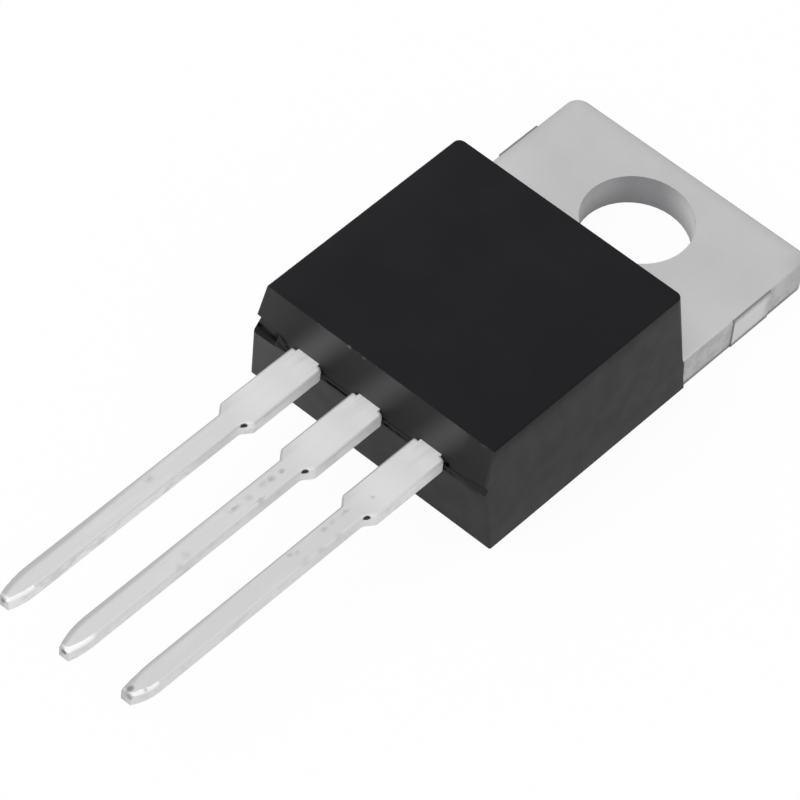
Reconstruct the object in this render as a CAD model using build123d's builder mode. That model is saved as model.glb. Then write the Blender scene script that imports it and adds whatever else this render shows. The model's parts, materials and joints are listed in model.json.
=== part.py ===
"""Low-dropout voltage regulator in a three-lead, tab-mounted power package.

The stamped copper frame (tab, header and centre lead in one piece) carries the die. The two outer
leads are held by the moulding alone and joined to the die by bond wires. Epoxy is moulded round
all of them, face to face.

Frame: millimetres, origin on the axis of the tab's hole, in the plane of the tab's back.
+X across the width, +Y from the leads towards the tab's end, +Z out of the marked face.
"""

import os
from math import radians, tan

from build123d import *

# Moulding
BODY_WIDTH = 10.08  # on the back
BODY_LENGTH = 9.38  # on the back
BODY_HEIGHT = 4.40
SIDE_DRAFT = 4.66
TAB_END_DRAFT = 5.0
LEAD_END_DRAFT_UPPER = 11.5
LEAD_END_DRAFT_LOWER = 7.0
LEAD_END_CORNER = 0.07
TAB_END_CORNER_FOOT = 0.04  # the tab-end uprights are nearly square on the back,
TAB_END_CORNER_TOP = 0.26  # and open into a round corner on the marked face
CORNER_WASTE = 0.20  # reach of their cutter outside the corner
TOP_EDGE = 0.06
SEAM_HALF_HEIGHT = 0.05  # parting groove between the leads
SEAM_DEPTH = 0.09


# Parting pocket outside each outer lead, left (-1) and right (+1), through three sections
POCKET_START = {-1: 0.30, 1: 0.70}  # lead's outer side to the first section
POCKET_KNEE = {-1: 0.75, 1: 1.15}  # and to the second
POCKET_OVERRUN = 0.30  # the third stands this far outside the moulding
POCKET_SECTIONS = {  # lip above and below the parting plane, and depth
    -1: ((0.05, 0.22, 0.07), (0.29, 0.45, 0.27), (0.46, 0.52, 0.44)),
    1: ((0.06, 0.06, 0.07), (0.16, 0.16, 0.16), (0.20, 0.20, 0.16)),
}

# Tab and header
TAB_LEFT_STEP = 0.050  # the tab's left side stands this far inside the moulding's
TAB_RIGHT_STEP = 0.075
TAB_THICKNESS = 1.27
TAB_REACH = 6.24  # tab's end to the moulding, along the back
TAB_CORNER = 0.50
TAB_EDGE_ROLL = 0.12
HOLE_RADIUS = 1.90
HOLE_TO_TAB_END = 2.82
STUB_LENGTH = 1.85  # sheared tie-bar stub on each side of the tab
STUB_CENTRE_Y = -0.15
STUB_SIDE_STEP = 0.04  # moulding's side to the stub's end
HEADER_SIDE_WALL = 0.64  # epoxy outside each flank of the header, measured at the back's full width
HEADER_DOVETAIL = 0.30  # each flank leans in by this much towards the back
HEADER_FRONT_WALL = 3.07  # moulding's lead end to the header's front edge, along the back
LOCK_GROOVE_DEPTH = 0.20
LOCK_GROOVE_WIDTH = 0.40
LOCK_GROOVE_INSET = 1.10  # moulding's tab end to the groove's centre

# Leads
LEAD_PITCH = 2.54
LEAD_THICKNESS = 0.48
LEAD_UNDERSIDE = 2.58
LEAD_WIDE = 1.31
LEAD_NARROW = 0.775
LEAD_LENGTH = 13.49  # moulding's parting edge to the longest tip
WIDE_LENGTH_LEFT = 3.27  # moulding's parting edge to the shoulder
WIDE_LENGTH_RIGHT = 3.13
SHOULDER_LENGTH = 0.35
SHOULDER_FILLET_LEFT = 0.10
SHOULDER_FILLET_RIGHT = 0.30
SHOULDER_CORNER = 0.13
ROOT_WIDTH = 0.86  # the lead is this wide where it enters the moulding
ROOT_CORNER_LEFT = 0.06
ROOT_CORNER_RIGHT = 0.17
EDGE_ROLL = 0.12
NOSE_LENGTH_LEFT = 1.30
NOSE_LENGTH_RIGHT = 0.95
NOSE_END_WIDTH = 0.38
TIP_TRIM = {-1: 0.10, 0: 0.0, 1: 0.13}  # each tip, from left to right, stops this far short of the longest
TIP_LEAN = {-1: 0.02, 0: 0.06, 1: -0.08}  # and its end is cropped this far to one side

# Bond posts of the outer leads, and the centre lead's down-set
POST_LENGTH = 1.50
POST_INSET = 0.70  # moulding's parting edge to the post
POST_CORNER = 0.20
POST_SIDE_WALL = 0.77  # epoxy outside each post at the parting plane
POST_GAP = 1.14  # centre lead's neck to each post
CENTRE_NECK_WIDTH = 1.20
DOWNSET_START = 1.10  # moulding's parting edge to the upper bend
DOWNSET_CLEAR = 0.25  # header's front edge to the lower bend
DOWNSET_RADIUS = 0.50
HEADER_LAP = 0.60  # the centre lead's foot runs this far into the header

# Die and its solder
DIE_WIDTH = 2.60
DIE_LENGTH = 2.20
DIE_THICKNESS = 0.28
SOLDER_THICKNESS = 0.05
SOLDER_MARGIN = 0.10

# Bond wires
POWER_WIRE = 0.25
SIGNAL_WIRE = 0.125
GROUND_LOOP_RISE = 0.70  # above the die
GROUND_WIRE_REACH = 1.60  # die's side to the ground wire's far end
WIRE_SIDES = 12  # the round wire is drawn with this many flats
WIRE_FOOT_LENGTH = 0.50
WIRE_FOOT_SPREAD = 1.5  # flattened width over wire diameter
WIRE_FOOT_SQUASH = 0.8  # flattened height over wire diameter
WIRE_PAD_INSET = 0.45  # die's edge to the middle of a foot
WIRE_POST_INSET = 0.60  # post's inner end to the middle of a foot
WIRE_SPREAD = 0.35  # power and sense wires land this far each side of the output lead's centre line

# Places worked out from the sizes above
LEAD_MID = LEAD_UNDERSIDE + LEAD_THICKNESS / 2
LEAD_TOP = LEAD_UNDERSIDE + LEAD_THICKNESS
BODY_BACK_Y = HOLE_TO_TAB_END - TAB_REACH
BODY_FOOT_Y = BODY_BACK_Y - BODY_LENGTH
PARTING_Y = BODY_FOOT_Y - LEAD_MID * tan(radians(LEAD_END_DRAFT_LOWER))
PARTING_HALF_WIDTH = BODY_WIDTH / 2 - LEAD_MID * tan(radians(SIDE_DRAFT))
TAB_LEFT_X = TAB_LEFT_STEP - BODY_WIDTH / 2
TAB_RIGHT_X = BODY_WIDTH / 2 - TAB_RIGHT_STEP
HEADER_WIDTH = BODY_WIDTH - 2 * HEADER_SIDE_WALL
HEADER_FRONT_Y = BODY_FOOT_Y + HEADER_FRONT_WALL
TIP_Y = PARTING_Y - LEAD_LENGTH
SHOULDER_LEFT_Y = PARTING_Y - WIDE_LENGTH_LEFT
SHOULDER_RIGHT_Y = PARTING_Y - WIDE_LENGTH_RIGHT
POST_FRONT_Y = PARTING_Y + POST_INSET
POST_BACK_Y = POST_FRONT_Y + POST_LENGTH
POST_INNER_X = CENTRE_NECK_WIDTH / 2 + POST_GAP
POST_OUTER_X = PARTING_HALF_WIDTH - POST_SIDE_WALL
SOLDER_TOP = TAB_THICKNESS + SOLDER_THICKNESS
DIE_TOP = SOLDER_TOP + DIE_THICKNESS
LOCK_GROOVE_Y = BODY_BACK_Y - LOCK_GROOVE_INSET
DIE_CENTRE_Y = (HEADER_FRONT_Y + LOCK_GROOVE_Y) / 2
DIE_FRONT_Y = DIE_CENTRE_Y - DIE_LENGTH / 2
WIRE_LOOP_TOP = (LEAD_TOP + BODY_HEIGHT) / 2


def near(value, target):
    """True where a coordinate lies on the line or plane asked for."""
    return abs(value - target) < 0.001


def lead_plan(position, inner_end):
    """Plan of a lead (-1 left, 0 centre, 1 right) about its own centre line, from inner_end to its tip."""
    tip_y = TIP_Y + TIP_TRIM[position]
    end_left = Vector(TIP_LEAN[position] - NOSE_END_WIDTH / 2, tip_y)
    end_right = Vector(TIP_LEAN[position] + NOSE_END_WIDTH / 2, tip_y)
    with BuildSketch() as plan:
        with BuildLine():
            left = Polyline(
                (-ROOT_WIDTH / 2, inner_end),
                (-ROOT_WIDTH / 2, PARTING_Y),
                (-LEAD_WIDE / 2, PARTING_Y),
                (-LEAD_WIDE / 2, SHOULDER_LEFT_Y),
                (-LEAD_NARROW / 2, SHOULDER_LEFT_Y - SHOULDER_LENGTH),
                (-LEAD_NARROW / 2, tip_y + NOSE_LENGTH_LEFT),
            )
            right = Polyline(
                (ROOT_WIDTH / 2, inner_end),
                (ROOT_WIDTH / 2, PARTING_Y),
                (LEAD_WIDE / 2, PARTING_Y),
                (LEAD_WIDE / 2, SHOULDER_RIGHT_Y),
                (LEAD_NARROW / 2, SHOULDER_RIGHT_Y - SHOULDER_LENGTH),
                (LEAD_NARROW / 2, tip_y + NOSE_LENGTH_RIGHT),
            )
            TangentArc(left @ 1, end_left, tangent=(0, -1))
            TangentArc(right @ 1, end_right, tangent=(0, -1))
            Line(end_left, end_right)
            Line(left @ 0, right @ 0)
        make_face()
        for x, y, radius in (
            (-LEAD_WIDE / 2, PARTING_Y, ROOT_CORNER_LEFT),
            (LEAD_WIDE / 2, PARTING_Y, ROOT_CORNER_RIGHT),
            (-LEAD_WIDE / 2, SHOULDER_LEFT_Y, SHOULDER_CORNER),
            (LEAD_WIDE / 2, SHOULDER_RIGHT_Y, SHOULDER_CORNER),
            (-LEAD_NARROW / 2, SHOULDER_LEFT_Y - SHOULDER_LENGTH, SHOULDER_FILLET_LEFT),
            (LEAD_NARROW / 2, SHOULDER_RIGHT_Y - SHOULDER_LENGTH, SHOULDER_FILLET_RIGHT),
        ):
            fillet(plan.vertices().filter_by(lambda v: near(v.X, x) and near(v.Y, y)), radius=radius)
    return plan.sketch


def rolled_edges(edges):
    """Upper edges of a lead outside the moulding, which stamping and cropping roll over."""
    return edges.filter_by(lambda e: near(e.center().Z, LEAD_TOP) and e.center().Y < PARTING_Y + 0.001)


def outer_lead(side):
    """Outer lead with its bond post, left (side -1) or right (side +1) of the centre lead."""
    lead_x = side * LEAD_PITCH
    post_x = side * (POST_INNER_X + POST_OUTER_X) / 2 - lead_x
    with BuildPart() as lead:
        with BuildSketch(Plane((lead_x, 0, LEAD_UNDERSIDE))):
            add(lead_plan(side, POST_FRONT_Y + POST_CORNER))
            with Locations((post_x, (POST_FRONT_Y + POST_BACK_Y) / 2)):
                RectangleRounded(POST_OUTER_X - POST_INNER_X, POST_LENGTH, POST_CORNER)
        extrude(amount=LEAD_THICKNESS)
        fillet(rolled_edges(lead.edges()), radius=EDGE_ROLL)
    return lead.part


def bond_wire(start, end, diameter, loop_top):
    """Wire arched from the pad under start to the pad under end, flattened into a wedge foot on each."""
    run = Vector(end[0] - start[0], end[1] - start[1], 0)
    wall = Plane(origin=(start[0], start[1], 0), x_dir=run, z_dir=run.cross(Vector(0, 0, 1)))
    foot_height = diameter * WIRE_FOOT_SQUASH
    with BuildPart() as wire:
        with BuildLine(wall) as arch:
            ThreePointArc(
                (0, start[2] + foot_height / 2),
                (run.length / 2, loop_top),
                (run.length, end[2] + foot_height / 2),
            )
        with BuildSketch(Plane(origin=arch.line @ 0, z_dir=arch.line % 0)):
            RegularPolygon(diameter / 2, WIRE_SIDES)
        sweep()
        for pad in (start, end):
            with BuildSketch(Plane(origin=pad, x_dir=run)):
                Rectangle(WIRE_FOOT_LENGTH, diameter * WIRE_FOOT_SPREAD)
            extrude(amount=foot_height)
    return wire.part


def parting_notch(rise, drop, depth):
    """V section of the lead-end face at the parting plane, in (Y, Z), with its lips on the drafted face."""
    apex = Vector(PARTING_Y + depth, LEAD_MID)
    upper_lip = Vector(PARTING_Y + rise * tan(radians(LEAD_END_DRAFT_UPPER)), LEAD_MID + rise)
    lower_lip = Vector(PARTING_Y + drop * tan(radians(LEAD_END_DRAFT_LOWER)), LEAD_MID - drop)
    with BuildSketch() as notch:
        with BuildLine():
            Polyline(apex, apex + (upper_lip - apex) * 2, apex + (lower_lip - apex) * 2, close=True)
        make_face()
    return notch.sketch


def corner_waste(side, x, y, radius):
    """Plan of what rounding takes off the tab-end corner at side * x, y, with some room outside it."""
    with BuildSketch() as waste:
        with BuildLine():
            rounding = RadiusArc((side * x, y - radius), (side * (x - radius), y), -side * radius)
            Polyline(
                rounding @ 0,
                (side * (x + CORNER_WASTE), y - radius),
                (side * (x + CORNER_WASTE), y + CORNER_WASTE),
                (side * (x - radius), y + CORNER_WASTE),
                rounding @ 1,
            )
        make_face()
    return waste.sketch


# Centre lead: side view of the down-set strip, cut to the lead's plan
with BuildPart() as centre_lead:
    with BuildSketch(Plane.YZ):
        with BuildLine():
            FilletPolyline(
                (HEADER_FRONT_Y + HEADER_LAP, TAB_THICKNESS - LEAD_THICKNESS / 2),
                (HEADER_FRONT_Y - DOWNSET_CLEAR, TAB_THICKNESS - LEAD_THICKNESS / 2),
                (PARTING_Y + DOWNSET_START, LEAD_MID),
                (TIP_Y, LEAD_MID),
                radius=DOWNSET_RADIUS,
            )
        trace(line_width=LEAD_THICKNESS)
    extrude(amount=LEAD_WIDE, both=True)
    with BuildSketch():
        neck_start = PARTING_Y + DOWNSET_START
        neck_end = HEADER_FRONT_Y + HEADER_LAP
        add(lead_plan(0, neck_start))
        with Locations((0, (neck_start + neck_end) / 2)):
            Rectangle(CENTRE_NECK_WIDTH, neck_end - neck_start)
    extrude(amount=BODY_HEIGHT, mode=Mode.INTERSECT)
    fillet(rolled_edges(centre_lead.edges()), radius=EDGE_ROLL)

# Copper frame: tab, header and centre lead in one stamping. The tab's full width stops along the
# drafted end of the moulding.
with BuildPart() as heatsink_frame:
    with BuildSketch(Plane.YZ.offset(TAB_LEFT_X)):
        with BuildLine():
            Polyline(
                (BODY_BACK_Y, 0),
                (HOLE_TO_TAB_END, 0),
                (HOLE_TO_TAB_END, TAB_THICKNESS),
                (BODY_BACK_Y - TAB_THICKNESS * tan(radians(TAB_END_DRAFT)), TAB_THICKNESS),
                close=True,
            )
        make_face()
    extrude(amount=TAB_RIGHT_X - TAB_LEFT_X)
    fillet(heatsink_frame.edges().filter_by(Axis.Z).group_by(Axis.Y)[-1], radius=TAB_CORNER)
    rim = heatsink_frame.edges().group_by(Axis.Z)[-1]
    fillet(rim.sort_by(Axis.Y)[1:], radius=TAB_EDGE_ROLL)

    # Tie-bar stubs, sheared square
    with BuildSketch():
        with Locations((0, STUB_CENTRE_Y)):
            Rectangle(BODY_WIDTH - 2 * STUB_SIDE_STEP, STUB_LENGTH)
    extrude(amount=TAB_THICKNESS)

    # Header, dovetailed so that the moulding holds its flanks
    with BuildSketch(Plane.XZ.offset(-BODY_BACK_Y)):
        with BuildLine():
            Polyline(
                (HEADER_WIDTH / 2 - HEADER_DOVETAIL, 0),
                (HEADER_WIDTH / 2, TAB_THICKNESS),
                (-HEADER_WIDTH / 2, TAB_THICKNESS),
                (HEADER_DOVETAIL - HEADER_WIDTH / 2, 0),
                close=True,
            )
        make_face()
    extrude(amount=BODY_BACK_Y - HEADER_FRONT_Y)
    add(centre_lead.part)

    # Groove across the header that the moulding keys into, and the mounting hole
    with BuildSketch(Plane.YZ):
        with BuildLine():
            Polyline(
                (LOCK_GROOVE_Y - LOCK_GROOVE_WIDTH / 2, TAB_THICKNESS),
                (LOCK_GROOVE_Y, TAB_THICKNESS - LOCK_GROOVE_DEPTH),
                (LOCK_GROOVE_Y + LOCK_GROOVE_WIDTH / 2, TAB_THICKNESS),
                close=True,
            )
        make_face()
    extrude(amount=BODY_WIDTH, both=True, mode=Mode.SUBTRACT)
    with Locations((0, 0, TAB_THICKNESS)):
        Hole(HOLE_RADIUS)

# Outer leads
input_lead = outer_lead(-1)
output_lead = outer_lead(1)

# Die on its solder
with BuildPart() as die_solder:
    with BuildSketch(Plane.XY.offset(TAB_THICKNESS)):
        with Locations((0, DIE_CENTRE_Y)):
            Rectangle(DIE_WIDTH + 2 * SOLDER_MARGIN, DIE_LENGTH + 2 * SOLDER_MARGIN)
    extrude(amount=SOLDER_THICKNESS)

with BuildPart() as silicon_die:
    with BuildSketch(Plane.XY.offset(SOLDER_TOP)):
        with Locations((0, DIE_CENTRE_Y)):
            Rectangle(DIE_WIDTH, DIE_LENGTH)
    extrude(amount=DIE_THICKNESS)

# Bond wires: power wires to both posts, a thin sense wire beside the output, a thin ground to the header
pad_y = DIE_FRONT_Y + WIRE_PAD_INSET
post_y = POST_BACK_Y - WIRE_POST_INSET
input_wire = bond_wire(
    (-DIE_WIDTH / 4, pad_y, DIE_TOP),
    (-LEAD_PITCH, post_y, LEAD_TOP),
    POWER_WIRE,
    WIRE_LOOP_TOP,
)
output_wire = bond_wire(
    (DIE_WIDTH / 8, pad_y, DIE_TOP),
    (LEAD_PITCH - WIRE_SPREAD, post_y, LEAD_TOP),
    POWER_WIRE,
    WIRE_LOOP_TOP,
)
sense_wire = bond_wire(
    (DIE_WIDTH / 3, pad_y + WIRE_FOOT_LENGTH, DIE_TOP),
    (LEAD_PITCH + WIRE_SPREAD, post_y, LEAD_TOP),
    SIGNAL_WIRE,
    WIRE_LOOP_TOP,
)
ground_wire = bond_wire(
    (DIE_WIDTH / 4, DIE_CENTRE_Y + DIE_LENGTH / 4, DIE_TOP),
    (DIE_WIDTH / 2 + GROUND_WIRE_REACH, DIE_CENTRE_Y + DIE_LENGTH / 4, TAB_THICKNESS),
    SIGNAL_WIRE,
    DIE_TOP + GROUND_LOOP_RISE,
)

# Epoxy moulding: drafted form, parting groove and pockets, then room for everything inside it
with BuildPart() as moulded_body:
    top_half_width = BODY_WIDTH / 2 - BODY_HEIGHT * tan(radians(SIDE_DRAFT))
    top_back_y = BODY_BACK_Y - BODY_HEIGHT * tan(radians(TAB_END_DRAFT))
    top_front_y = PARTING_Y + (BODY_HEIGHT - LEAD_MID) * tan(radians(LEAD_END_DRAFT_UPPER))
    with BuildSketch(Plane.YZ):
        with BuildLine():
            Polyline(
                (BODY_FOOT_Y, 0),
                (BODY_BACK_Y, 0),
                (top_back_y, BODY_HEIGHT),
                (top_front_y, BODY_HEIGHT),
                (PARTING_Y, LEAD_MID),
                close=True,
            )
        make_face()
    extrude(amount=BODY_WIDTH, both=True)
    with BuildSketch(Plane.XZ.offset(-HOLE_TO_TAB_END)):
        with BuildLine():
            Polyline(
                (-BODY_WIDTH / 2, 0),
                (BODY_WIDTH / 2, 0),
                (top_half_width, BODY_HEIGHT),
                (-top_half_width, BODY_HEIGHT),
                close=True,
            )
        make_face()
    extrude(amount=HOLE_TO_TAB_END - TIP_Y, mode=Mode.INTERSECT)
    uprights = moulded_body.edges().filter_by(lambda e: abs(e.tangent_at(0.5).Z) > 0.5)
    fillet(uprights.filter_by(lambda e: e.center().Y < BODY_FOOT_Y / 2), radius=LEAD_END_CORNER)
    for side in (-1, 1):
        with BuildSketch():
            add(corner_waste(side, BODY_WIDTH / 2, BODY_BACK_Y, TAB_END_CORNER_FOOT))
        with BuildSketch(Plane.XY.offset(BODY_HEIGHT)):
            add(corner_waste(side, top_half_width, top_back_y, TAB_END_CORNER_TOP))
        loft(ruled=True, mode=Mode.SUBTRACT)
    fillet(moulded_body.edges().group_by(Axis.Z)[-1], radius=TOP_EDGE)

    lead_side = LEAD_PITCH + LEAD_WIDE / 2
    for side in (-1, 1):
        with BuildSketch(Plane.YZ):
            add(parting_notch(SEAM_HALF_HEIGHT, SEAM_HALF_HEIGHT, SEAM_DEPTH))
        extrude(amount=side * (lead_side + POCKET_START[side]), mode=Mode.SUBTRACT)
        reaches = (
            lead_side + POCKET_START[side],
            lead_side + POCKET_KNEE[side],
            BODY_WIDTH / 2 + POCKET_OVERRUN,
        )
        for reach, section in zip(reaches, POCKET_SECTIONS[side]):
            with BuildSketch(Plane.YZ.offset(side * reach)):
                add(parting_notch(*section))
        loft(ruled=True, mode=Mode.SUBTRACT)

    add(heatsink_frame.part, mode=Mode.SUBTRACT)
    for held in (
        input_lead,
        output_lead,
        die_solder.part,
        silicon_die.part,
        input_wire,
        output_wire,
        sense_wire,
        ground_wire,
    ):
        add(held, mode=Mode.SUBTRACT)

os.makedirs("parts", exist_ok=True)
pieces = {
    "heatsink_frame": heatsink_frame.part,
    "input_lead": input_lead,
    "output_lead": output_lead,
    "die_solder": die_solder.part,
    "silicon_die": silicon_die.part,
    "input_wire": input_wire,
    "output_wire": output_wire,
    "sense_wire": sense_wire,
    "ground_wire": ground_wire,
    "moulded_body": moulded_body.part,
}
for name, piece in pieces.items():
    piece.label = name
    export_step(piece, f"parts/{name}.step")
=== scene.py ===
"""Finishes, light and camera for a three-lead voltage regulator in a tab-mounted power package.

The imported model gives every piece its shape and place. This script gives each piece its surface:
matte plating on the tab, whiter tin on the leads, fine satin epoxy on the moulding, and solder,
silicon and drawn aluminium inside it. Lengths in the classes are millimetres in the part's own
frame, and a surface's direction is told by how far it leans each way, from -1 to 1.
"""

from __future__ import annotations

import json
import logging
import math
from dataclasses import dataclass, field
from enum import Enum
from functools import reduce

import bmesh
import bpy
from mathutils import Matrix, Vector

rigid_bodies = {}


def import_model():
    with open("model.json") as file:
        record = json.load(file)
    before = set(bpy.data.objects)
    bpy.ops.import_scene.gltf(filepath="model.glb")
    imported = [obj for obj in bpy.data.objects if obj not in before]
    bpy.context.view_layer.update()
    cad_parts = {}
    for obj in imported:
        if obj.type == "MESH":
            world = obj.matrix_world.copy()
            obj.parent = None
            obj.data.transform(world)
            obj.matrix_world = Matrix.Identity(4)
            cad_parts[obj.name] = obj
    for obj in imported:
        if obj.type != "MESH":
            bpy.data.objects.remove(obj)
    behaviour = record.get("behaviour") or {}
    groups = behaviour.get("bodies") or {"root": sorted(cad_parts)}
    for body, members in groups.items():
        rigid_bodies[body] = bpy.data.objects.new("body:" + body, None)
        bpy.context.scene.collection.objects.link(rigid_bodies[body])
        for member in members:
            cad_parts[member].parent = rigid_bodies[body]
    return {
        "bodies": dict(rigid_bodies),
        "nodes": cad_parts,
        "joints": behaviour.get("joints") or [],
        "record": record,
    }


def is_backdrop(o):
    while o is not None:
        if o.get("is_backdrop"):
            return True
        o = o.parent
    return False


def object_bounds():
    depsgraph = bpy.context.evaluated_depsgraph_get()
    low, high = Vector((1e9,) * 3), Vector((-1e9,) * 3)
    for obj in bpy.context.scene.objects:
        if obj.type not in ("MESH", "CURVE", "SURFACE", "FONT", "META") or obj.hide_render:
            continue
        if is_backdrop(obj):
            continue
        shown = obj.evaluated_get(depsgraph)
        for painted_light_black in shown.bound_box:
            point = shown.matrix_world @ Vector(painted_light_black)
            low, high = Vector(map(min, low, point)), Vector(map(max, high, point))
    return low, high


MM = 0.001
LEAD_PITCH = 2.54  # millimetres
WHITE = (1.0, 1.0, 1.0, 1.0)

Colour = tuple[float, float, float]
Point = tuple[float, float, float]
Socket = bpy.types.NodeSocket
Material = bpy.types.Material
Piece = bpy.types.Object

log = logging.getLogger("regulator")


class Node(Enum):
    """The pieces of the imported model, by name."""

    FRAME = "heatsink_frame"
    INPUT_LEAD = "input_lead"
    OUTPUT_LEAD = "output_lead"
    BODY = "moulded_body"
    SOLDER = "die_solder"
    DIE = "silicon_die"
    INPUT_WIRE = "input_wire"
    OUTPUT_WIRE = "output_wire"
    SENSE_WIRE = "sense_wire"
    GROUND_WIRE = "ground_wire"


class Axis(Enum):
    """The three directions of the part: across, along the leads, and out of the marked face."""

    ACROSS = "X"
    ALONG = "Y"
    OUT = "Z"


class Sum(Enum):
    """The sums that the finishes use: the first three for both, then for numbers, then vectors."""

    ADD = "ADD"
    SUBTRACT = "SUBTRACT"
    MULTIPLY = "MULTIPLY"
    MULTIPLY_ADD = "MULTIPLY_ADD"
    MAXIMUM = "MAXIMUM"
    ABSOLUTE = "ABSOLUTE"
    WRAP = "WRAP"
    DIVIDE = "DIVIDE"
    SCALE = "SCALE"
    LENGTH = "LENGTH"


# ----- What the finishes are described in -----


@dataclass(frozen=True)
class Ramp:
    """A smooth change from low to high while a value goes from start to end."""

    start: float
    end: float
    low: float = 0.0
    high: float = 1.0


@dataclass(frozen=True)
class Grain:
    """A noise. A small stretch draws it out along that axis, and shift picks another patch."""

    per_mm: float
    detail: float = 2.0
    rough: float = 0.5
    stretch: Point = (1.0, 1.0, 1.0)
    shift: Point = (0.0, 0.0, 0.0)


@dataclass(frozen=True)
class Wobble:
    """How finely and how far an outline is pushed about."""

    per_mm: float
    push: float


@dataclass(frozen=True)
class Mark:
    """A small spot, such as a scuff or a nick. Its core is the share of it at full strength."""

    centre: Point
    reach: Point
    strength: float = 1.0
    core: float = 0.0

    def mask(self, r: Recipe, place: Socket) -> Socket:
        """How strong the mark is at each point.

        Args:
            r: The tree.
            place: The coordinates that its centre is given in.

        Returns:
            Its strength.
        """
        away = r.vector(Sum.SUBTRACT, place, self.centre)
        away = r.vector(Sum.LENGTH, r.vector(Sum.DIVIDE, away, self.reach))
        return r.step(away, Ramp(1.0, self.core, high=self.strength))


class Recipe:
    """A material's node tree, with short calls for the few nodes that the finishes use."""

    FACTOR = 3  # the vector math node's socket for a scale
    MIX_SHARE, MIX_FIRST, MIX_SECOND, MIXED = 0, 6, 7, 2  # the mix node's sockets for colours
    BEVEL_SAMPLES = 4

    def __init__(self, name: str) -> None:
        """Starts a node tree that knows the place and direction of each point.

        Args:
            name: The material's name.
        """
        self.material: Material = bpy.data.materials.new(name)
        self.material.use_nodes = True
        self.tree: bpy.types.NodeTree = self.material.node_tree
        self.tree.nodes.clear()
        coords = self.tree.nodes.new("ShaderNodeTexCoord")
        geometry = self.tree.nodes.new("ShaderNodeNewGeometry")
        self.place: Socket = self.vector(Sum.SCALE, coords.outputs["Object"], scale=1.0 / MM)
        self.across, self.along, self.out = self.parts(self.place)
        self.over, self.ahead, self.up = self.parts(geometry.outputs["Normal"])

    def _feed(self, socket: Socket, value: Socket | float | Point) -> None:
        """Links a socket to another, or sets its value.

        Args:
            socket: The socket to feed.
            value: The other socket, or the value.
        """
        if isinstance(value, bpy.types.NodeSocket):
            self.tree.links.new(value, socket)
        else:
            socket.default_value = value

    def _feed_colour(self, socket: Socket, colour: Socket | Colour) -> None:
        """Links a colour socket to another, or sets its colour."""
        self._feed(socket, colour if isinstance(colour, bpy.types.NodeSocket) else (*colour, 1.0))

    def parts(self, vector: Socket) -> tuple[Socket, ...]:
        """The three components of a vector.

        Args:
            vector: The vector.

        Returns:
            Its components across, along and out.
        """
        split = self.tree.nodes.new("ShaderNodeSeparateXYZ")
        self._feed(split.inputs[0], vector)
        return tuple(split.outputs[axis.value] for axis in Axis)

    def join(self, *parts: Socket) -> Socket:
        """A vector made of three components.

        Args:
            parts: Its components across, along and out.

        Returns:
            The vector.
        """
        node = self.tree.nodes.new("ShaderNodeCombineXYZ")
        for socket, part in zip(node.inputs, parts):
            self._feed(socket, part)
        return node.outputs[0]

    def vector(
        self, action: Sum, first: Socket, second: Socket | Point | None = None, scale: float = 1.0
    ) -> Socket:
        """A sum of vectors.

        Args:
            action: Which sum.
            first: The first vector.
            second: The second vector, where the sum has one.
            scale: The factor, where the sum has one.

        Returns:
            The result, a number for a length and a vector for the rest.
        """
        node = self.tree.nodes.new("ShaderNodeVectorMath")
        node.operation = action.value
        self._feed(node.inputs[0], first)
        if second is not None:
            self._feed(node.inputs[1], second)
        node.inputs[self.FACTOR].default_value = scale
        return node.outputs["Value" if action is Sum.LENGTH else "Vector"]

    def sum(self, action: Sum, *numbers: Socket | float) -> Socket:
        """A sum of numbers.

        Args:
            action: Which sum.
            numbers: The numbers that go in, three at most.

        Returns:
            The result.
        """
        node = self.tree.nodes.new("ShaderNodeMath")
        node.operation = action.value
        for socket, number in zip(node.inputs, numbers):
            self._feed(socket, number)
        return node.outputs[0]

    def product(self, *factors: Socket | float) -> Socket:
        """Several numbers multiplied together."""
        return reduce(lambda first, second: self.sum(Sum.MULTIPLY, first, second), factors)

    def most(self, *numbers: Socket | float) -> Socket:
        """The largest of several numbers."""
        return reduce(lambda first, second: self.sum(Sum.MAXIMUM, first, second), numbers)

    def gap(self, number: Socket, middle: float = 0.0) -> Socket:
        """How far a number is from a middle, either way."""
        return self.sum(Sum.ABSOLUTE, self.sum(Sum.SUBTRACT, number, middle) if middle else number)

    def from_lead(self, across: Socket) -> Socket:
        """How far a place is across from the nearest lead's middle, less than 0 on its left."""
        return self.sum(Sum.WRAP, across, LEAD_PITCH / 2, -LEAD_PITCH / 2)

    def squared_below(self, number: Socket, start: float, curve: float) -> Socket:
        """A curve that starts where a number falls below a start, and is 0 before it."""
        below = self.most(self.sum(Sum.SUBTRACT, start, number), 0.0)
        return self.product(below, below, curve)

    def waved(self, grain: Grain, wave: float, number: Socket) -> Socket:
        """A number with some of a noise added."""
        return self.sum(Sum.MULTIPLY_ADD, self.grain(grain), wave, number)

    def step(self, value: Socket, ramp: Ramp) -> Socket:
        """A ramp's height at a value.

        Args:
            value: The value.
            ramp: The ramp.

        Returns:
            Its height there.
        """
        node = self.tree.nodes.new("ShaderNodeMapRange")
        node.interpolation_type = "SMOOTHSTEP"
        self._feed(node.inputs["Value"], value)
        node.inputs["From Min"].default_value = ramp.start
        node.inputs["From Max"].default_value = ramp.end
        node.inputs["To Min"].default_value = ramp.low
        node.inputs["To Max"].default_value = ramp.high
        return node.outputs["Result"]

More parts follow.
